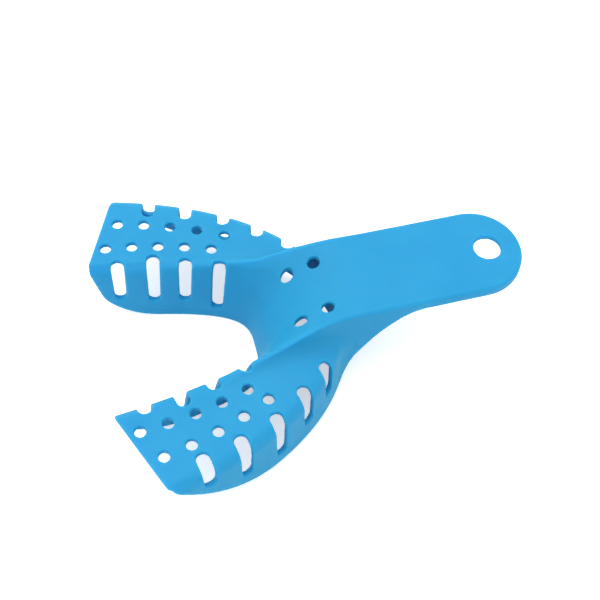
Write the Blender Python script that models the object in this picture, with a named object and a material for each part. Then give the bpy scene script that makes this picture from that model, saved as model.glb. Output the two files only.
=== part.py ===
"""Perforated lower impression tray, moulded in one piece from blue plastic.

The tray lies channel-down: +X runs along the handle to its tip, +Y across the
mouth, +Z up.  The origin is at the middle of its footprint, on the plane of
the lingual rim.  All the sizes below are in millimetres.
"""
import math

import bmesh
import bpy
from mathutils import Vector

MM = 0.001

# --- walls ---------------------------------------------------------------
WALL = 1.3                 # plastic thickness everywhere
ROOF_Z = 15.0              # flat roof of the channel, over the lingual rim
POSTERIOR_X = -44.87       # rear corner of each arm
HEEL_CORNER_Y = 17.3       # its distance from the centre line
HEEL_SLANT = 0.435         # the outer corner lies further forward
HEEL_LEAN = 0.3            # and so does everything below the roof
SPAN_X = -50.0             # where the arch outline is closed behind the arms

# --- outer wall: an ellipse in plan, with a rounded fold to the roof -------
ARCH_X = -60.5             # centre of the ellipse
ARCH_A = 66.75             # its half axes at the fold, on the outer face
ARCH_B = 38.45
FOLD_R = 3.0               # outer radius of the fold
OUTER_DRAFT = math.tan(math.radians(6.5))
MID_A = 57.0               # an ellipse halfway across the channel
MID_B = 28.0
OUTER_RIM_Z = 2.0          # height of the outer rim over most of its length
OUTER_RIM_X = -13.0        # behind this the outer rim sweeps up
OUTER_RIM_RISE = 0.0215    # rise per square millimetre behind that point
OUTER_RIM_TOP = 13.9       # highest point of the swept rim
ARCH_STEPS = 52

# --- inner wall and ramp: one funnel-like surface -------------------------
RIM_FRONT_X = -12.0        # front of the lingual rim
RAMP_TOP_X = 11.3          # where the ramp runs out into the handle
RAMP_TOP_Z = 22.45
FUNNEL_POWER = 3.6         # how square the U of the inner wall is
FUNNEL_RIM_S = 5.65        # spread of the U at the rim
FUNNEL_ROOF_S = 6.25       # and at the roof
RAMP_POWER = 2.4           # the ramp above the roof is a rounder dish
RAMP_S = 5.4
RAMP_BLEND = 3.2           # height above the roof over which one turns into the other
INNER_FOLD_R = 2.4         # radius of the fold along the inner edge of the roof
INNER_FOLD_FULL_X = -22.5  # behind this it is that round
INNER_FOLD_END_X = -16.5   # and here it has sharpened into the ridge of the ramp
FUNNEL_BACK_X = -60.0
FUNNEL_STEPS = 18
LINGUAL_HEEL_R = 14.3      # round heel of the lingual flange

# --- handle ----------------------------------------------------------------
HANDLE_HALF = 10.0         # half width at its top face
HANDLE_TIP_X = 44.5
HANDLE_SLOPE = 0.05        # the top face rises gently towards the tip
HANDLE_SKIRT = 2.6         # depth of the skirt round its edge
SIDE_DRAFT = math.tan(math.radians(4))
FLARE_X = 4.1              # behind this the sides of the ramp spread apart
FLARE_LENGTH = 22.0
FLARE_WIDTH = 2.5
FLARE_POWER = 1.6
HANDLE_BACK_X = -16.6
HANDLE_STEPS = 24
RAISED_FLOOR = 8.0         # the hollow under the ramp joins the channel above this
RAISED_END_X = 8.0
GUSSET_X = 21.1            # behind this the skirt deepens to the front wall
GUSSET_RISE = 0.057        # drop per square millimetre behind that point
HANG_HOLE_X = 37.2
HANG_HOLE_R = 2.9

# --- perforations -----------------------------------------------------------
HOLE_R = 1.15
HOLE_PITCH = 5.5
OUTER_ROW = (-36.6, -60.5, 62.0, 30.5)     # first x, then the ellipse x, a, b
INNER_ROW = (-40.1, -49.5, 50.0, 22.5)
HOLES_PER_ROW = 5
RAMP_HOLE_R = 1.25
RAMP_HOLES = ((-4.35, 5.85), (1.1, 5.7))
SLOT_R = 1.4               # half width of the slots in the roof
SLOT_TAPER = 0.86          # they narrow by this factor down to their lower ends
OUTER_SLOTS = (            # inner end in the roof (x, y), degrees, height of the lower end
    (-29.9, 28.9, 12.0, 10.2),
    (-22.2, 26.8, 14.5, 6.3),
    (-14.5, 23.7, 18.5, 4.8),
    (-7.9, 19.1, 19.0, 6.4),
    (-2.2, 14.6, 22.0, 6.9),
)
INNER_SLOTS = (
    (-38.35, 18.5, 3.0, 5.6),
    (-30.6, 18.5, 10.0, 4.6),
    (-23.9, 16.2, 16.0, 4.9),
    (-16.9, 13.7, 22.0, 3.1),
)
OUTER_SLOT_RUN = 14.0      # how far the slot cutters reach outwards
INNER_SLOT_RUN = 8.0
RAMP_HOLE_LOW = 6.0        # underneath the plastic the ramp holes go through
HANG_HOLE_LOW = 10.0
CLEAR = 6.0                # how far a cutter runs past the plastic
DEEP = 9.0                 # and how far one runs that trims another cutter
SNUG = 0.01                # keeps two cutters from sharing a face
CUT_WIDE = 60.0            # half width of the cutters that trim the arms
CUT_BACK_X = -90.0         # and how far back they reach
FLANGE_SPLIT_Y = 23.25     # between the inner and the outer flange, near the heels


def remove_everything():
    for old in list(bpy.data.objects):
        bpy.data.objects.remove(old, do_unlink=True)


def plastic():
    """Satin, light blue moulded plastic."""
    material = bpy.data.materials.new("blue_plastic")
    material.use_nodes = True
    shader = material.node_tree.nodes["Principled BSDF"]
    shader.inputs["Base Color"].default_value = (0.035, 0.36, 0.68, 1.0)
    shader.inputs["Roughness"].default_value = 0.42
    shader.inputs["Metallic"].default_value = 0.0
    return material


def object_from(name, build):
    """Make a mesh object; build(mesh) adds its geometry in millimetres."""
    mesh = bmesh.new()
    build(mesh)
    bmesh.ops.recalc_face_normals(mesh, faces=mesh.faces)
    bmesh.ops.scale(mesh, vec=(MM, MM, MM), verts=mesh.verts)
    data = bpy.data.meshes.new(name)
    mesh.to_mesh(data)
    mesh.free()
    made = bpy.data.objects.new(name, data)
    bpy.context.collection.objects.link(made)
    return made


def add_loft(mesh, loops):
    """A closed solid through loops with the same number of points."""
    rings = [[mesh.verts.new(point) for point in loop] for loop in loops]
    count = len(rings[0])
    for low, high in zip(rings, rings[1:]):
        for i in range(count):
            j = (i + 1) % count
            mesh.faces.new((low[i], low[j], high[j], high[i]))
    mesh.faces.new(list(reversed(rings[0])))
    mesh.faces.new(rings[-1])


def loft(name, loops):
    return object_from(name, lambda mesh: add_loft(mesh, loops))


def hide_as_tool(made):
    made.hide_render = True
    made.display_type = "WIRE"
    return made


def boolean(target, tool, operation):
    step = target.modifiers.new(tool.name, "BOOLEAN")
    step.operation = operation
    step.solver = "EXACT"
    step.object = hide_as_tool(tool)


# --- the outer wall and the roof ---------------------------------------------
def arch_loop(z, grow, half_x=ARCH_A, half_y=ARCH_B):
    """The arch outline at height z, grown by a distance, closed at SPAN_X."""
    a = half_x + grow
    b = half_y + grow
    last = math.acos((SPAN_X - ARCH_X) / a)
    angles = [last * (2 * i / ARCH_STEPS - 1) for i in range(ARCH_STEPS + 1)]
    return [(ARCH_X + a * math.cos(t), b * math.sin(t), z) for t in angles]


def wall_grow(z):
    """How far the drafted outer wall stands out below the fold."""
    return OUTER_DRAFT * max(ROOF_Z - FOLD_R - z, 0.0)


def slab(name, bottom_z, inset):
    """The outer wall, fold and roof as a filled block, inset by a distance."""
    fold_z = ROOF_Z - FOLD_R
    radius = FOLD_R - inset
    loops = [arch_loop(bottom_z, wall_grow(bottom_z) - inset)]
    for step in range(4):
        turn = math.radians(30 * step)
        grow = -inset - radius * (1 - math.cos(turn))
        loops.append(arch_loop(fold_z + radius * math.sin(turn), grow))
    return loft(name, loops)


def column(name, inset):
    """The outer wall carried straight up through the handle."""
    fold_z = ROOF_Z - FOLD_R
    loops = [arch_loop(-DEEP, wall_grow(-DEEP) - inset)]
    loops.append(arch_loop(fold_z, -inset))
    loops.append(arch_loop(RAMP_TOP_Z + DEEP, -inset))
    return loft(name, loops)


# --- the inner wall and the ramp ----------------------------------------------
def funnel_front(z):
    """Where the ramp stands on the centre line at height z."""
    part = min(max(z / RAMP_TOP_Z, 0.0), 1.0)
    return RAMP_TOP_X - (RAMP_TOP_X - RIM_FRONT_X) * math.sqrt(1 - part * part)


def ramp_share(z):
    """Zero up to the roof, then rising smoothly to one in the ramp."""
    part = min(max((z - ROOF_Z) / RAMP_BLEND, 0.0), 1.0)
    return part * part * (3 - 2 * part)


def funnel_spread(z):
    side = FUNNEL_RIM_S + (FUNNEL_ROOF_S - FUNNEL_RIM_S) * min(z, ROOF_Z) / ROOF_Z
    return side + (RAMP_S - side) * ramp_share(z)


def funnel_power(z):
    return FUNNEL_POWER + (RAMP_POWER - FUNNEL_POWER) * ramp_share(z)


def funnel_point(z, along):
    """A point of the inner wall; along runs from -1 at one heel to 1."""
    front = funnel_front(z)
    depth = (front - FUNNEL_BACK_X) * abs(along) ** 2.2
    y = funnel_spread(z) * depth ** (1 / funnel_power(z))
    return Vector((front - depth, math.copysign(y, along), z))


def funnel_normal(z, along):
    """The unit normal of the inner wall, pointing into the plastic."""
    step = 0.01
    across = funnel_point(z, along + step) - funnel_point(z, along - step)
    upward = funnel_point(min(z + step, RAMP_TOP_Z), along) - funnel_point(z - step, along)
    return across.cross(upward).normalized()


def inner_fold(x, z, inset):
    """How far the rounded fold along the inner edge of the roof stands back."""
    share = (INNER_FOLD_END_X - x) / (INNER_FOLD_END_X - INNER_FOLD_FULL_X)
    radius = INNER_FOLD_R - inset
    rise = min(max(z - ROOF_Z + INNER_FOLD_R, 0.0) / radius, 1.0)
    return radius * min(max(share, 0.0), 1.0) * (1 - math.sqrt(1 - rise * rise))


def funnel(name, grow):
    """The open U and the space over the ramp, grown into the plastic."""
    fold_z = ROOF_Z - INNER_FOLD_R
    radius = INNER_FOLD_R - grow
    levels = [-DEEP, 0.0, 4.0, 8.0]
    levels += [fold_z + radius * math.sin(math.radians(a)) for a in (0, 30, 60, 90)]
    levels += [15.7, 16.4, 17.2, 18.2, 19.2, 20.2, 21.1, 21.9, RAMP_TOP_Z - 0.1, RAMP_TOP_Z]
    loops = []
    for z in levels:
        loop = []
        for i in range(-FUNNEL_STEPS, FUNNEL_STEPS + 1):
            along = i / FUNNEL_STEPS
            point = funnel_point(z, along)
            normal = funnel_normal(z, along)
            sideways = Vector((normal.x, normal.y, 0)).normalized()
            loop.append(point + grow * normal + inner_fold(point.x, z, grow) * sideways)
        loops.append(loop)
    bottom = [Vector((p.x, p.y, -DEEP)) for p in loops[0]]
    top = [Vector((p.x, p.y, RAMP_TOP_Z + CLEAR)) for p in loops[-1]]
    return loft(name, [bottom] + loops[1:] + [top])


# --- the handle and the ramp's sides -------------------------------------------
def handle_top(x):
    return RAMP_TOP_Z + HANDLE_SLOPE * (x - RAMP_TOP_X)


def handle_half(x):
    spread = max(FLARE_X - x, 0.0) / FLARE_LENGTH
    return HANDLE_HALF + FLARE_WIDTH * spread ** FLARE_POWER


def skirt_bottom(x):
    """Lower edge of the handle's skirt and of the gussets behind it."""
    if x >= GUSSET_X:
        return handle_top(x) - HANDLE_SKIRT
    edge = handle_top(GUSSET_X) - HANDLE_SKIRT
    return max(edge - GUSSET_RISE * (GUSSET_X - x) ** 2, OUTER_RIM_Z)


def tongue_section(x, half, lean, inset, floor):
    """Four corners of the tongue at x; lean tips the tip's wall outwards."""
    top = handle_top(x) - inset
    bottom = skirt_bottom(x) if floor is None else floor
    out = SIDE_DRAFT * (handle_top(x) - bottom)
    low_x = x + out * lean
    low_half = half + out * math.sqrt(1 - lean * lean)
    return [(x, -half, top), (x, half, top), (low_x, low_half, bottom), (low_x, -low_half, bottom)]


def tongue(name, inset=0.0, floor=None, start_x=HANDLE_BACK_X, end_x=None):
    """The handle and the raised part behind it as one block."""
    tip_out = SIDE_DRAFT * HANDLE_SKIRT
    tip_x = HANDLE_TIP_X - tip_out - HANDLE_HALF
    radius = HANDLE_HALF - inset
    last = tip_x if end_x is None else end_x
    xs = [start_x + (last - start_x) * i / HANDLE_STEPS for i in range(HANDLE_STEPS + 1)]
    sections = [tongue_section(x, handle_half(x) - inset, 0.0, inset, floor) for x in xs]
    if end_x is None:
        for degrees in (7, 15, 22, 30, 37, 45, 52, 60, 67, 75, 82, 88):
            turn = math.radians(degrees)
            x = tip_x + radius * math.sin(turn)
            half = radius * math.cos(turn)
            sections.append(tongue_section(x, half, math.sin(turn), inset, floor))
    return loft(name, sections)


# --- trimming the rims and the heels ---------------------------------------------
def add_prism_y(mesh, outline, y_low, y_high):
    """An outline in X and Z, extruded along Y."""
    add_loft(mesh, [[(x, y, z) for x, z in outline] for y in (y_low, y_high)])


def heel_cut():
    """Everything behind the slanting, leaning rear edges of the two arms."""
    far_x = HEEL_SLANT * (CUT_WIDE - HEEL_CORNER_Y)
    outline = [(CUT_BACK_X, -CUT_WIDE), (far_x, -CUT_WIDE), (0, -HEEL_CORNER_Y)]
    outline += [(0, HEEL_CORNER_Y), (far_x, CUT_WIDE), (CUT_BACK_X, CUT_WIDE)]
    loops = []
    for z in (-DEEP, RAMP_TOP_Z + CLEAR):
        rear = POSTERIOR_X + HEEL_LEAN * (ROOF_Z - z)
        loops.append([(rear + x, y, z) for x, y in outline])
    return loft("heel_cut", loops)


def add_lingual_heels(mesh):
    """Rounds the lower rear corner of the lingual flange."""
    centre_x = POSTERIOR_X + LINGUAL_HEEL_R
    centre_z = LINGUAL_HEEL_R - 0.05
    outline = [(CUT_BACK_X, -CLEAR), (centre_x, -CLEAR)]
    for step in range(13):
        turn = math.radians(90 * step / 12)
        x = centre_x - LINGUAL_HEEL_R * math.sin(turn)
        outline.append((x, centre_z - LINGUAL_HEEL_R * math.cos(turn)))
    outline.append((CUT_BACK_X, centre_z))
    add_prism_y(mesh, outline, -FLANGE_SPLIT_Y + 0.2, FLANGE_SPLIT_Y - 0.2)


def add_outer_rims(mesh):
    """Sweeps the outer rim up towards the rear of each arm."""
    reach = math.sqrt((OUTER_RIM_TOP - OUTER_RIM_Z) / OUTER_RIM_RISE)
    outline = [(CUT_BACK_X, -CLEAR), (OUTER_RIM_X, -CLEAR)]
    for step in range(13):
        back = reach * step / 12
        outline.append((OUTER_RIM_X - back, OUTER_RIM_Z - 0.02 + OUTER_RIM_RISE * back * back))
    outline.append((CUT_BACK_X, OUTER_RIM_TOP))
    add_prism_y(mesh, outline, FLANGE_SPLIT_Y, CUT_WIDE)
    add_prism_y(mesh, outline, -CUT_WIDE, -FLANGE_SPLIT_Y)


def rim_cuts():
    def build(mesh):
        add_lingual_heels(mesh)
        add_outer_rims(mesh)
    return object_from("rim_cuts", build)


# --- perforations --------------------------------------------------------------
def add_hole(mesh, x, y, radius, low, high, sides=16):
    loops = []
    for z in (low, high):
        turns = [math.tau * i / sides for i in range(sides)]
        loops.append([(x + radius * math.cos(t), y + radius * math.sin(t), z) for t in turns])
    add_loft(mesh, loops)


def add_slot(mesh, x, y, direction, low, length):
    """A tapering slot with round ends, cut from (x, y) outwards and down to low."""
    along = Vector((direction[0], direction[1], 0))
    side = Vector((-along.y, along.x, 0))
    top = ROOF_Z + CLEAR
    widen = 1 + (1 - SLOT_TAPER) * CLEAR / (ROOF_Z - low)
    loops = []
    runs = [(-math.cos(math.radians(a)), math.sin(math.radians(a))) for a in (12, 34, 56, 78)]
    runs += [(0.0, 1.0), ((length - SLOT_R) / SLOT_R, 1.0)]
    for forward, width in runs:
        centre = Vector((x, y, 0)) + along * SLOT_R * (1 + forward)
        high_half = SLOT_R * width * widen
        low_half = SLOT_R * width * SLOT_TAPER
        loop = [centre - side * high_half + Vector((0, 0, top))]
        for a in range(180, 361, 30):
            turn = math.radians(a)
            drop = Vector((0, 0, low + SLOT_R * SLOT_TAPER + low_half * math.sin(turn)))
            loop.append(centre + side * low_half * math.cos(turn) + drop)
        loop.append(centre + side * high_half + Vector((0, 0, top)))
        loops.append(loop)
    add_loft(mesh, loops)


def add_roof_holes(mesh, side):
    low, high = ROOF_Z - WALL - CLEAR / 2, ROOF_Z + CLEAR
    for first_x, centre_x, a, b in (OUTER_ROW, INNER_ROW):
        for i in range(HOLES_PER_ROW):
            x = first_x + HOLE_PITCH * i
            y = b * math.sqrt(1 - ((x - centre_x) / a) ** 2)
            add_hole(mesh, x, side * y, HOLE_R, low, high)
    for x, y in RAMP_HOLES:
        add_hole(mesh, x, side * y, RAMP_HOLE_R, RAMP_HOLE_LOW, RAMP_TOP_Z + CLEAR)


def add_slots(mesh, side):
    for slots, outwards, run in ((OUTER_SLOTS, 1, OUTER_SLOT_RUN), (INNER_SLOTS, -1, INNER_SLOT_RUN)):
        for x, y, degrees, low in slots:
            turn = math.radians(degrees)
            direction = (outwards * math.sin(turn), outwards * side * math.cos(turn))
            add_slot(mesh, x, side * y, direction, low, run)


def perforations():
    def build(mesh):
        for side in (-1, 1):
            add_roof_holes(mesh, side)
            add_slots(mesh, side)
        add_hole(mesh, HANG_HOLE_X, 0.0, HANG_HOLE_R, HANG_HOLE_LOW, RAMP_TOP_Z + CLEAR, sides=32)
    return object_from("perforations", build)


# --- the tray ---------------------------------------------------------------------
def lingual_base():
    """Carries the block down to the deeper lingual rim."""
    loops = [arch_loop(z, 0.0, MID_A, MID_B) for z in (0.0, ROOF_Z - FOLD_R)]
    return loft("lingual_base", loops)


def channel_space():
    """The hollow of the channel, which rises under the ramp in front."""
    raised = tongue("raised_space", WALL, floor=RAISED_FLOOR, end_x=RAISED_END_X)
    boolean(raised, column("front_wall_inside", WALL + SNUG), "INTERSECT")
    space = slab("channel_space", -CLEAR, WALL)
    boolean(space, raised, "UNION")
    boolean(space, funnel("funnel_outside", WALL), "DIFFERENCE")
    return space


def handle_space():
    """The hollow under the handle, open downwards."""
    space = tongue("handle_space", WALL, floor=-CLEAR, start_x=RIM_FRONT_X)
    boolean(space, column("front_wall_outside", -SNUG), "DIFFERENCE")
    return space


def tray_body():
    body = slab("tray_body", OUTER_RIM_Z, 0.0)
    boolean(body, lingual_base(), "UNION")
    boolean(body, tongue("handle_block"), "UNION")
    boolean(body, funnel("funnel_inside", 0.0), "DIFFERENCE")
    boolean(body, heel_cut(), "DIFFERENCE")
    boolean(body, rim_cuts(), "DIFFERENCE")
    boolean(body, channel_space(), "DIFFERENCE")
    boolean(body, handle_space(), "DIFFERENCE")
    boolean(body, perforations(), "DIFFERENCE")
    body.data.materials.append(plastic())
    body.data.shade_smooth()
    body.data.set_sharp_from_angle(angle=math.radians(30))
    return body


remove_everything()
tray_body()
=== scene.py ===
"""The looks of the impression tray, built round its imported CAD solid.

The tray is one moulding, so one piece replaces the CAD node.  It is the same
shape with the soft edges, fillets and even wall of a real moulding.  A
function gives the distance from any point to the plastic, numbers below zero
are inside it, and the piece's mesh is where that distance is zero.
All the sizes here are in millimetres, in the CAD's frame, which is in metres.
"""
import math

import bpy
import numpy as np
import openvdb
from mathutils import Euler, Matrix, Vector


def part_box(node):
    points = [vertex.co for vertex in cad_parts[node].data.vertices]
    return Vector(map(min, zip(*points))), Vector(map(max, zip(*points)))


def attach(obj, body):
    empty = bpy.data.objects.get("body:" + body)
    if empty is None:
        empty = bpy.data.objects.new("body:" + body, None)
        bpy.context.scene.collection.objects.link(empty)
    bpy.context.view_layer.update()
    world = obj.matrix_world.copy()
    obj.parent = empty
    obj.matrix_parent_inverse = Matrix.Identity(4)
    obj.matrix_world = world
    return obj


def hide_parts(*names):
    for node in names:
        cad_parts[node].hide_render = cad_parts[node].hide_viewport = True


MM = 0.001
TINY = 1e-6                # keeps divisions away from zero

# --- walls ------------------------------------------------------------------
WALL = 1.3                 # plastic thickness everywhere
ROOF_Z = 15.0              # flat roof of the channel, over the lingual rim
POSTERIOR_X = -44.87       # rear corner of each arm
HEEL_CORNER_Y = 17.3       # its distance from the centre line
HEEL_SLANT = 0.435         # the outer corner lies further forward
HEEL_LEAN = 0.3            # and so does everything below the roof

# --- outer wall: an ellipse in plan, with a rounded fold to the roof --------
ARCH_X = -60.5             # centre of the ellipse
ARCH_A = 66.75             # its half axes at the fold, on the outer face
ARCH_B = 38.45
FOLD_R = 3.0               # outer radius of the fold
OUTER_DRAFT = math.tan(math.radians(6.5))
FOLD_SOFT = 1.0            # how softly the draft begins under the fold
GROW_LOW = -30.0           # how far inside and outside the ellipse distances are kept
GROW_HIGH = 60.0
GROW_STEPS = 6
OUTER_RIM_Z = 2.0          # height of the outer rim over most of its length
OUTER_RIM_X = -13.0        # behind this the outer rim sweeps up
OUTER_RIM_RISE = 0.0215    # rise per square millimetre behind that point
OUTER_RIM_TOP = 13.9       # highest point of the swept rim
FLANGE_GAP = 6.0           # what is further than this inside the outer wall is lingual

# --- inner wall, ramp and the handle's top: one funnel-like surface ---------
RIM_FRONT_X = -12.0        # front of the lingual rim
RAMP_TOP_X = 11.3          # where the ramp runs out into the handle
RAMP_TOP_Z = 22.45
FUNNEL_POWER = 3.6         # how square the U of the inner wall is
FUNNEL_RIM_S = 5.65        # spread of the U at the rim
FUNNEL_ROOF_S = 6.25       # and at the roof
RAMP_POWER = 2.4           # the ramp above the roof is a rounder dish
RAMP_S = 5.4
RAMP_BLEND = 3.2           # height above the roof over which one turns into the other
INNER_FOLD_R = 2.4         # radius of the fold along the inner edge of the roof
INNER_FOLD_FULL_X = -22.5  # behind this it is that round
INNER_FOLD_END_X = -15.5   # and here it has sharpened into the ridge of the ramp
LINGUAL_HEEL_R = 14.3      # round heel of the lingual flange
FUNNEL_STEP = 0.05         # over which its steepness is measured

# --- handle -----------------------------------------------------------------
HANDLE_HALF = 10.0         # half width at its top face
HANDLE_TIP_X = 44.5
HANDLE_SLOPE = 0.05        # the top face rises gently towards the tip
HANDLE_SOFT = 3.0          # how softly that rise begins
HANDLE_SKIRT = 2.6         # depth of the skirt round its edge
SIDE_DRAFT = math.tan(math.radians(4))
FLARE_X = 4.1              # behind this the sides of the ramp spread apart
FLARE_LENGTH = 22.0
FLARE_WIDTH = 2.5
FLARE_POWER = 1.6
HANDLE_BACK_X = -24.0      # and behind this they no longer do
GUSSET_X = 21.1            # behind this the skirt deepens to the front wall
GUSSET_RISE = 0.057        # drop per square millimetre behind that point
HANG_HOLE_X = 37.2
HANG_HOLE_R = 2.9

# --- perforations -----------------------------------------------------------
HOLE_R = 1.15
HOLE_PITCH = 5.5
OUTER_ROW = (-36.6, -60.5, 62.0, 30.5)     # first x, then the ellipse x, a, b
INNER_ROW = (-40.1, -49.5, 50.0, 22.5)
HOLES_PER_ROW = 5
RAMP_HOLE_R = 1.25
RAMP_HOLES = ((-4.35, 5.85), (1.1, 5.7))
RAMP_HOLE_LOW = 6.0        # underneath the plastic the ramp holes go through
SLOT_R = 1.4               # half width of the slots in the roof
SLOT_TAPER = 0.86          # they narrow by this factor down to their lower ends
SLOT_GROW_END = 1.5        # and widen above the roof up to this many times their height
OUTER_SLOTS = (            # inner end in the roof (x, y), degrees, height of the lower end
    (-29.9, 28.9, 12.0, 10.2),
    (-22.2, 26.8, 14.5, 6.3),
    (-14.5, 23.7, 18.5, 4.8),
    (-7.9, 19.1, 19.0, 6.4),
    (-2.2, 14.6, 22.0, 6.9),
)
INNER_SLOTS = (
    (-38.35, 18.5, 3.0, 5.6),
    (-30.6, 18.5, 10.0, 4.6),
    (-23.9, 16.2, 16.0, 4.9),
    (-16.9, 13.7, 22.0, 3.1),
)
INNER_SLOT_END_Y = 4.0     # nearer than this to the centre line they cut nothing

# --- softness of a moulding ---------------------------------------------------
CHEEK_FILLET = 2.6         # from the roof and the front wall up to the handle
RIDGE_R = 0.8              # along the ridges of the ramp and the handle's long edges
RIM_R = 0.45               # on the rims, heels and skirts
CORNER_R = 0.8             # inside the hollow handle, where its walls meet the front wall
HOLE_EDGE_R = 0.3          # round the perforations

# --- the mesh -------------------------------------------------------------------
VOXEL = 0.38               # spacing of the grid that it is taken from
MARGIN = 3                 # cells of that grid outside the CAD's box
SETTLE_STEPS = 4           # moves that bring its points onto the surface
SLOPE_STEP = 0.02          # over which the distance's slope is measured
LEAST_STEEP = 0.2          # keeps the moves short where that slope is unclear

# --- plastic --------------------------------------------------------------------
BLUE_DEEP = (0.017, 0.318, 0.585, 1.0)
BLUE_PALE = (0.023, 0.343, 0.610, 1.0)
GLOSSIEST = 0.45           # lowest and highest roughness
DULLEST = 0.55
SHINE = 0.2
CLOUDINESS = 0.8           # share of the light that scatters inside the plastic
CLOUD_REACH = (0.15, 0.7, 1.0)
CLOUD_DEPTH = 2.5          # how far blue light gets
CLOUD_SCALE = 90           # noise scales: the colour's clouds, the sheen and the grain
SHEEN_SCALE = 400
GRAIN_SCALE = 2500
NOISE_LOW = 0.3            # nearly all of the noise's values lie between these
NOISE_HIGH = 0.7
GRAIN_STRENGTH = 0.06
GRAIN_DEPTH = 0.1

# --- floor, light and camera ----------------------------------------------------
FLOOR_REACH = 4000.0       # from its middle to its edges
FLOOR_GREY = 0.85
FLOOR_GLOW = 0.5           # how bright the floor that is seen is by itself
FLOOR_ROUGHNESS = 0.9
BELOW_Z = -0.2             # the floor that reflects the light lies a little lower
BELOW_GREY = 0.88
SKY_STRENGTH = 0.92
KEY_PLACE = (-150.0, 120.0, 700.0)
KEY_TARGET = (0.0, 0.0, 10.0)
KEY_SIZE = 900.0
KEY_WATTS = 2.7
CAMERA_PLACE = (-43.89, -107.35, 185.28)
CAMERA_TURN = (33.951, -4.189, -14.667)    # degrees about x, y and z
CAMERA_LENS = 59.013       # on a sensor 36 mm wide
SENSOR_WIDTH = 36.0
CAMERA_NEAR = 10.0


# --- distances to simple things -----------------------------------------------
def round_max(a, b, radius):
    """Both a and b, with the edge between them rounded."""
    corner = np.hypot(np.maximum(radius + a, 0), np.maximum(radius + b, 0))
    return np.minimum(-radius, np.maximum(a, b)) + corner


def round_min(a, b, radius):
    """Either a or b, with a fillet between them."""
    return -round_max(-a, -b, radius)


def soft_step(u, width):
    """Zero below u = 0 and u above it, with a smooth change between."""
    return 0.5 * (u + np.sqrt(u * u + width * width))


def arch_distance(x, y):
    """Distance outside the arch's ellipse, from the ellipse that passes here."""
    u = x - ARCH_X
    a = np.full_like(u + y, ARCH_A)
    b = np.full_like(u + y, ARCH_B)
    grow = np.zeros_like(a)
    for _ in range(GROW_STEPS):
        level = (u / a) ** 2 + (y / b) ** 2 - 1
        slope = 2 * (u * u / a**3 + y * y / b**3)
        grow = np.clip(grow + level / np.maximum(slope, TINY), GROW_LOW, GROW_HIGH)
        a = ARCH_A + grow
        b = ARCH_B + grow
    return grow


def outer_wall(x, y, z):
    """Outside the drafted outer wall, carried straight up past the roof."""
    low = soft_step(ROOF_Z - FOLD_R - z, FOLD_SOFT)
    return (arch_distance(x, y) - OUTER_DRAFT * low) * math.cos(math.atan(OUTER_DRAFT))


def handle_top(x):
    """Height of the handle's top face, level behind the top of the ramp."""
    return RAMP_TOP_Z + HANDLE_SLOPE * soft_step(x - RAMP_TOP_X, HANDLE_SOFT)


def tongue_sides(x, y, z):
    """Outside the two sides and the round tip of the handle and the ramp."""
    tip_x = HANDLE_TIP_X - SIDE_DRAFT * HANDLE_SKIRT - HANDLE_HALF
    flare = np.clip(FLARE_X - x, 0, FLARE_X - HANDLE_BACK_X) / FLARE_LENGTH
    straight = np.abs(y) - HANDLE_HALF - FLARE_WIDTH * flare**FLARE_POWER
    tip = np.hypot(x - tip_x, y) - HANDLE_HALF
    plan = np.where(x > tip_x, tip, straight)
    drop = np.maximum(handle_top(x) - z, 0)
    return (plan - SIDE_DRAFT * drop) * math.cos(math.atan(SIDE_DRAFT))


def smooth_share(u):
    """Zero up to u = 0 and one from u = 1, with a smooth change between."""
    u = np.clip(u, 0, 1)
    return u * u * (3 - 2 * u)


def funnel_bulge(y, z):
    """How far behind its middle the U or the ramp stands, at y."""
    share = smooth_share((z - ROOF_Z) / RAMP_BLEND)
    side = FUNNEL_RIM_S + (FUNNEL_ROOF_S - FUNNEL_RIM_S) * np.clip(z / ROOF_Z, 0, 1)
    spread = side + (RAMP_S - side) * share
    power = FUNNEL_POWER + (RAMP_POWER - FUNNEL_POWER) * share
    return (np.maximum(np.abs(y), TINY) / spread) ** power


def funnel_level(x, y, z):
    """One on the ramp and the U and less in the plastic, but not a distance."""
    along = np.maximum(RAMP_TOP_X - x - funnel_bulge(y, z), 0)
    along = along / (RAMP_TOP_X - RIM_FRONT_X)
    return np.hypot(along, np.maximum(z, 0) / handle_top(x))


def above_funnel(x, y, z):
    """Above the handle and the ramp, or inside the U between the arms."""
    step = FUNNEL_STEP
    level = funnel_level(x, y, z)
    by_x = (funnel_level(x + step, y, z) - level) / step
    by_y = (funnel_level(x, y + step, z) - level) / step
    by_z = (funnel_level(x, y, z + step) - level) / step
    return (level - 1) / np.sqrt(by_x**2 + by_y**2 + by_z**2 + TINY)


# --- the tray -------------------------------------------------------------------
def block(x, y, z):
    """The tray's upper and outer surface, as if it were solid underneath."""
    slab = round_max(outer_wall(x, y, z), z - ROOF_Z, FOLD_R)
    whole = round_min(slab, tongue_sides(x, y, z), CHEEK_FILLET)
    share = (INNER_FOLD_END_X - x) / (INNER_FOLD_END_X - INNER_FOLD_FULL_X)
    radius = RIDGE_R + (INNER_FOLD_R - RIDGE_R) * smooth_share(share)
    return round_max(whole, above_funnel(x, y, z), radius)


def skirt_bottom(x):
    """Lower edge of the handle's skirt and of the gussets behind it."""
    skirt = handle_top(x) - HANDLE_SKIRT
    behind = np.maximum(GUSSET_X - x, 0)
    return np.maximum(skirt - GUSSET_RISE * behind**2, OUTER_RIM_Z)


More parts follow.
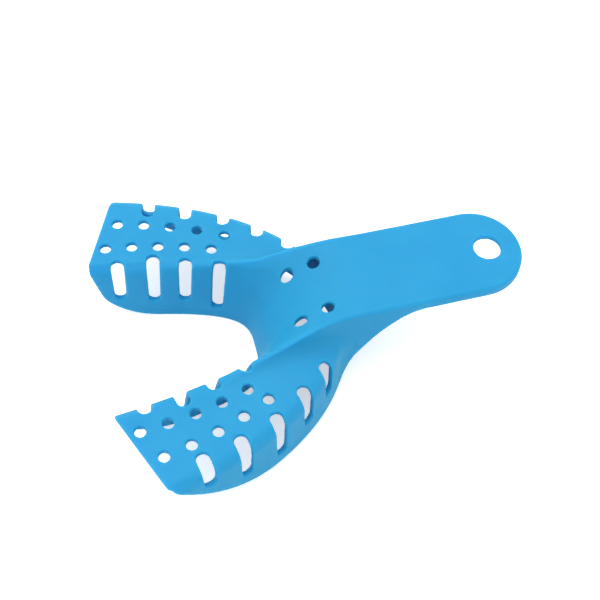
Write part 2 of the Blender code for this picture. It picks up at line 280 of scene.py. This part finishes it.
def below_rims(x, y, z):
    """Below the outer rim or the lingual rim, whichever flange is near."""
    back = np.maximum(OUTER_RIM_X - x, 0)
    rim = np.minimum(OUTER_RIM_Z + OUTER_RIM_RISE * back**2, OUTER_RIM_TOP)
    slope = np.where(rim < OUTER_RIM_TOP, 2 * OUTER_RIM_RISE * back, 0)
    outer = (rim - z) / np.sqrt(1 + slope**2)
    heel_x = POSTERIOR_X + LINGUAL_HEEL_R
    heel = np.hypot(x - heel_x, z - LINGUAL_HEEL_R) - LINGUAL_HEEL_R
    lingual = np.where((x < heel_x) & (z < LINGUAL_HEEL_R), heel, -z)
    return np.where(outer_wall(x, y, z) > -FLANGE_GAP, outer, lingual)


def behind_heels(x, y, z):
    """Behind the slanting, leaning rear edges of the two arms."""
    cut = POSTERIOR_X + HEEL_SLANT * np.maximum(np.abs(y) - HEEL_CORNER_Y, 0)
    cut = cut + HEEL_LEAN * (ROOF_Z - z)
    return (cut - x) / math.sqrt(1 + HEEL_SLANT**2 + HEEL_LEAN**2)


def shell(x, y, z):
    """The even wall, open underneath, with the front wall under the handle.

    Where the handle's hollow meets the front wall, its corner is filled softly.
    """
    outside = block(x, y, z)
    front = outer_wall(x, y, z)
    wall = np.maximum(outside, -outside - WALL)
    front_wall = np.maximum(np.maximum(front, -front - WALL), outside)
    hollow = round_max(outside + WALL, -front, CORNER_R)
    filled = np.maximum(np.maximum(outside, -hollow), -front - WALL / 2)
    wall = np.minimum(wall, filled)
    wall = round_max(wall, np.minimum(skirt_bottom(x) - z, front), RIM_R)
    return np.minimum(wall, front_wall)


def hole(x, y, centre_x, centre_y, radius):
    """Outside two upright holes, one in each arm."""
    return np.hypot(x - centre_x, np.abs(y) - centre_y) - radius


def slot(x, y, z, end, degrees, outwards, low):
    """Outside a tapering slot that runs from the roof down the wall to low."""
    turn = math.radians(degrees)
    along = Vector((math.sin(turn), math.cos(turn))) * outwards
    u = x - end[0]
    v = np.abs(y) - end[1]
    height = np.clip((z - low) / (ROOF_Z - low), 0, SLOT_GROW_END)
    narrow = SLOT_TAPER + (1 - SLOT_TAPER) * height
    forward = along.x * u + along.y * v - SLOT_R
    side = (along.x * v - along.y * u) / narrow
    low_r = SLOT_R * SLOT_TAPER
    plan = np.hypot(np.minimum(forward, 0), side) - SLOT_R
    wall = np.hypot(np.minimum(z - low - low_r, 0) / SLOT_TAPER, side) - SLOT_R
    return np.maximum(plan, wall)


def perforations(x, y, z):
    """Yields the distance outside each perforation; both arms share them."""
    for first_x, centre_x, a, b in (OUTER_ROW, INNER_ROW):
        for i in range(HOLES_PER_ROW):
            at = first_x + HOLE_PITCH * i
            row_y = b * math.sqrt(1 - ((at - centre_x) / a) ** 2)
            yield np.maximum(hole(x, y, at, row_y, HOLE_R), RAMP_HOLE_LOW - z)
    for at, hole_y in RAMP_HOLES:
        yield np.maximum(hole(x, y, at, hole_y, RAMP_HOLE_R), RAMP_HOLE_LOW - z)
    yield np.maximum(np.hypot(x - HANG_HOLE_X, y) - HANG_HOLE_R, RAMP_HOLE_LOW - z)
    for at, end_y, degrees, low in OUTER_SLOTS:
        yield slot(x, y, z, (at, end_y), degrees, 1, low)
    for at, end_y, degrees, low in INNER_SLOTS:
        inner = slot(x, y, z, (at, end_y), degrees, -1, low)
        yield np.maximum(inner, INNER_SLOT_END_Y - np.abs(y))


def tray(x, y, z):
    """Distance to the finished tray: above zero outside, below zero inside."""
    solid = round_max(shell(x, y, z), below_rims(x, y, z), RIM_R)
    solid = round_max(solid, behind_heels(x, y, z), RIM_R)
    for opening in perforations(x, y, z):
        solid = round_max(solid, -opening, HOLE_EDGE_R)
    return solid


# --- from the distance to a mesh -------------------------------------------------
def tray_slopes(points):
    """The direction in which the distance grows fastest, at each point."""
    slopes = np.empty_like(points)
    for axis in range(3):
        ahead = points.copy()
        behind = points.copy()
        ahead[:, axis] += SLOPE_STEP
        behind[:, axis] -= SLOPE_STEP
        slopes[:, axis] = (tray(*ahead.T) - tray(*behind.T)) / (2 * SLOPE_STEP)
    return slopes


def tray_mesh(low, high):
    """Quads on the tray's surface inside the box from low to high."""
    start = np.floor(low / VOXEL) - MARGIN
    counts = (np.ceil(high / VOXEL) + MARGIN - start).astype(int) + 1
    lines = [(start[i] + np.arange(counts[i])) * VOXEL for i in range(3)]
    x, y, z = np.meshgrid(*lines, indexing="ij", sparse=True)
    grid = openvdb.FloatGrid()
    grid.copyFromArray(tray(x, y, z).astype(np.float32))
    points, quads = grid.convertToQuads(0.0)
    points = (points.astype(float) + start) * VOXEL
    for _ in range(SETTLE_STEPS):
        slopes = tray_slopes(points)
        steepness = np.maximum((slopes**2).sum(axis=1), LEAST_STEEP)
        move = tray(*points.T) / steepness
        points -= np.clip(move, -VOXEL, VOXEL)[:, None] * slopes
    return points, quads


def make_tray():
    """The one visual piece, shaded smoothly by the slopes of the distance."""
    low, high = [np.array(corner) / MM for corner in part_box("tray_body")]
    points, quads = tray_mesh(low, high)
    slopes = tray_slopes(points)
    normals = slopes / np.linalg.norm(slopes, axis=1, keepdims=True)
    data = bpy.data.meshes.new("tray")
    data.from_pydata((points * MM).tolist(), [], quads.tolist())
    data.update()
    data.shade_smooth()
    data.normals_split_custom_set_from_vertices(normals.tolist())
    made = bpy.data.objects.new("tray", data)
    bpy.context.collection.objects.link(made)
    return made


# --- material ----------------------------------------------------------------------
def moulded_plastic():
    """Satin light blue plastic with a faint moulded grain."""
    material = bpy.data.materials.new("blue_plastic_satin")
    material.use_nodes = True
    nodes = material.node_tree.nodes
    links = material.node_tree.links
    shader = nodes["Principled BSDF"]
    place = nodes.new("ShaderNodeTexCoord")

    def noise(scale, detail):
        made = nodes.new("ShaderNodeTexNoise")
        made.inputs["Scale"].default_value = scale
        made.inputs["Detail"].default_value = detail
        links.new(place.outputs["Object"], made.inputs["Vector"])
        return made.outputs["Fac"]

    def stretch(source, low, high):
        made = nodes.new("ShaderNodeMapRange")
        made.inputs["From Min"].default_value = NOISE_LOW
        made.inputs["From Max"].default_value = NOISE_HIGH
        made.inputs["To Min"].default_value = low
        made.inputs["To Max"].default_value = high
        links.new(source, made.inputs["Value"])
        return made.outputs["Result"]

    mix = nodes.new("ShaderNodeMix")
    mix.data_type = "RGBA"
    mix.inputs[6].default_value = BLUE_DEEP
    mix.inputs[7].default_value = BLUE_PALE
    links.new(stretch(noise(CLOUD_SCALE, 4), 0.0, 1.0), mix.inputs[0])
    links.new(mix.outputs[2], shader.inputs["Base Color"])
    sheen = stretch(noise(SHEEN_SCALE, 3), GLOSSIEST, DULLEST)
    links.new(sheen, shader.inputs["Roughness"])
    shader.inputs["Specular IOR Level"].default_value = SHINE
    shader.inputs["Subsurface Weight"].default_value = CLOUDINESS
    shader.inputs["Subsurface Radius"].default_value = CLOUD_REACH
    shader.inputs["Subsurface Scale"].default_value = CLOUD_DEPTH * MM
    bump = nodes.new("ShaderNodeBump")
    bump.inputs["Strength"].default_value = GRAIN_STRENGTH
    bump.inputs["Distance"].default_value = GRAIN_DEPTH * MM
    links.new(noise(GRAIN_SCALE, 2), bump.inputs["Height"])
    links.new(bump.outputs["Normal"], shader.inputs["Normal"])
    return material


# --- studio ---------------------------------------------------------------------------
def make_floor_sheet(name, z, grey, glow):
    reach = FLOOR_REACH * MM
    corners = [(-reach, -reach), (reach, -reach), (reach, reach), (-reach, reach)]
    data = bpy.data.meshes.new(name)
    data.from_pydata([(x, y, z * MM) for x, y in corners], [], [(0, 1, 2, 3)])
    sheet = bpy.data.objects.new(name, data)
    bpy.context.collection.objects.link(sheet)
    material = bpy.data.materials.new(name)
    material.use_nodes = True
    shader = material.node_tree.nodes["Principled BSDF"]
    shader.inputs["Base Color"].default_value = (grey, grey, grey, 1.0)
    shader.inputs["Roughness"].default_value = FLOOR_ROUGHNESS
    shader.inputs["Emission Color"].default_value = (1.0, 1.0, 1.0, 1.0)
    shader.inputs["Emission Strength"].default_value = glow
    data.materials.append(material)
    return sheet


def make_floor():
    """A floor that is seen and glows a little, over one that reflects the light."""
    seen = make_floor_sheet("floor", 0.0, FLOOR_GREY, FLOOR_GLOW)
    seen.visible_diffuse = False
    seen.visible_glossy = False
    seen.visible_shadow = False
    below = make_floor_sheet("floor_below", BELOW_Z, BELOW_GREY, 0.0)
    below.visible_camera = False


def make_key_light():
    """A large soft lamp above the tray."""
    data = bpy.data.lights.new("key", "AREA")
    data.shape = "DISK"
    data.size = KEY_SIZE * MM
    data.energy = KEY_WATTS
    light = bpy.data.objects.new("key", data)
    bpy.context.collection.objects.link(light)
    light.location = Vector(KEY_PLACE) * MM
    aim = Vector(KEY_TARGET) - Vector(KEY_PLACE)
    light.rotation_euler = aim.to_track_quat("-Z", "Y").to_euler()


def make_sky():
    """An even white light from all round."""
    world = bpy.data.worlds.new("studio")
    world.use_nodes = True
    background = world.node_tree.nodes["Background"]
    background.inputs["Color"].default_value = (1.0, 1.0, 1.0, 1.0)
    background.inputs["Strength"].default_value = SKY_STRENGTH
    bpy.context.scene.world = world


def make_camera():
    """Above and behind the near arm, turned a little about its own axis."""
    data = bpy.data.cameras.new("camera")
    data.sensor_width = SENSOR_WIDTH
    data.lens = CAMERA_LENS
    data.clip_start = CAMERA_NEAR * MM
    camera = bpy.data.objects.new("camera", data)
    bpy.context.collection.objects.link(camera)
    camera.location = Vector(CAMERA_PLACE) * MM
    camera.rotation_euler = Euler([math.radians(turn) for turn in CAMERA_TURN])
    bpy.context.scene.camera = camera


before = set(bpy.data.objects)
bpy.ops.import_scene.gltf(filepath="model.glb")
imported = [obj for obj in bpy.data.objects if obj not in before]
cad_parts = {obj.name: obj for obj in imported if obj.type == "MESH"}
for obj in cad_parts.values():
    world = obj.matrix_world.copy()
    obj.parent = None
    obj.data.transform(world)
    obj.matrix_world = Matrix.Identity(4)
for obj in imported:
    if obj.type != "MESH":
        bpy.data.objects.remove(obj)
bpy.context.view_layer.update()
bpy.context.scene.view_settings.view_transform = "Standard"
tray_piece = make_tray()
tray_piece.data.materials.append(moulded_plastic())
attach(tray_piece, "root")
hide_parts("tray_body")
make_floor()
make_key_light()
make_sky()
make_camera()
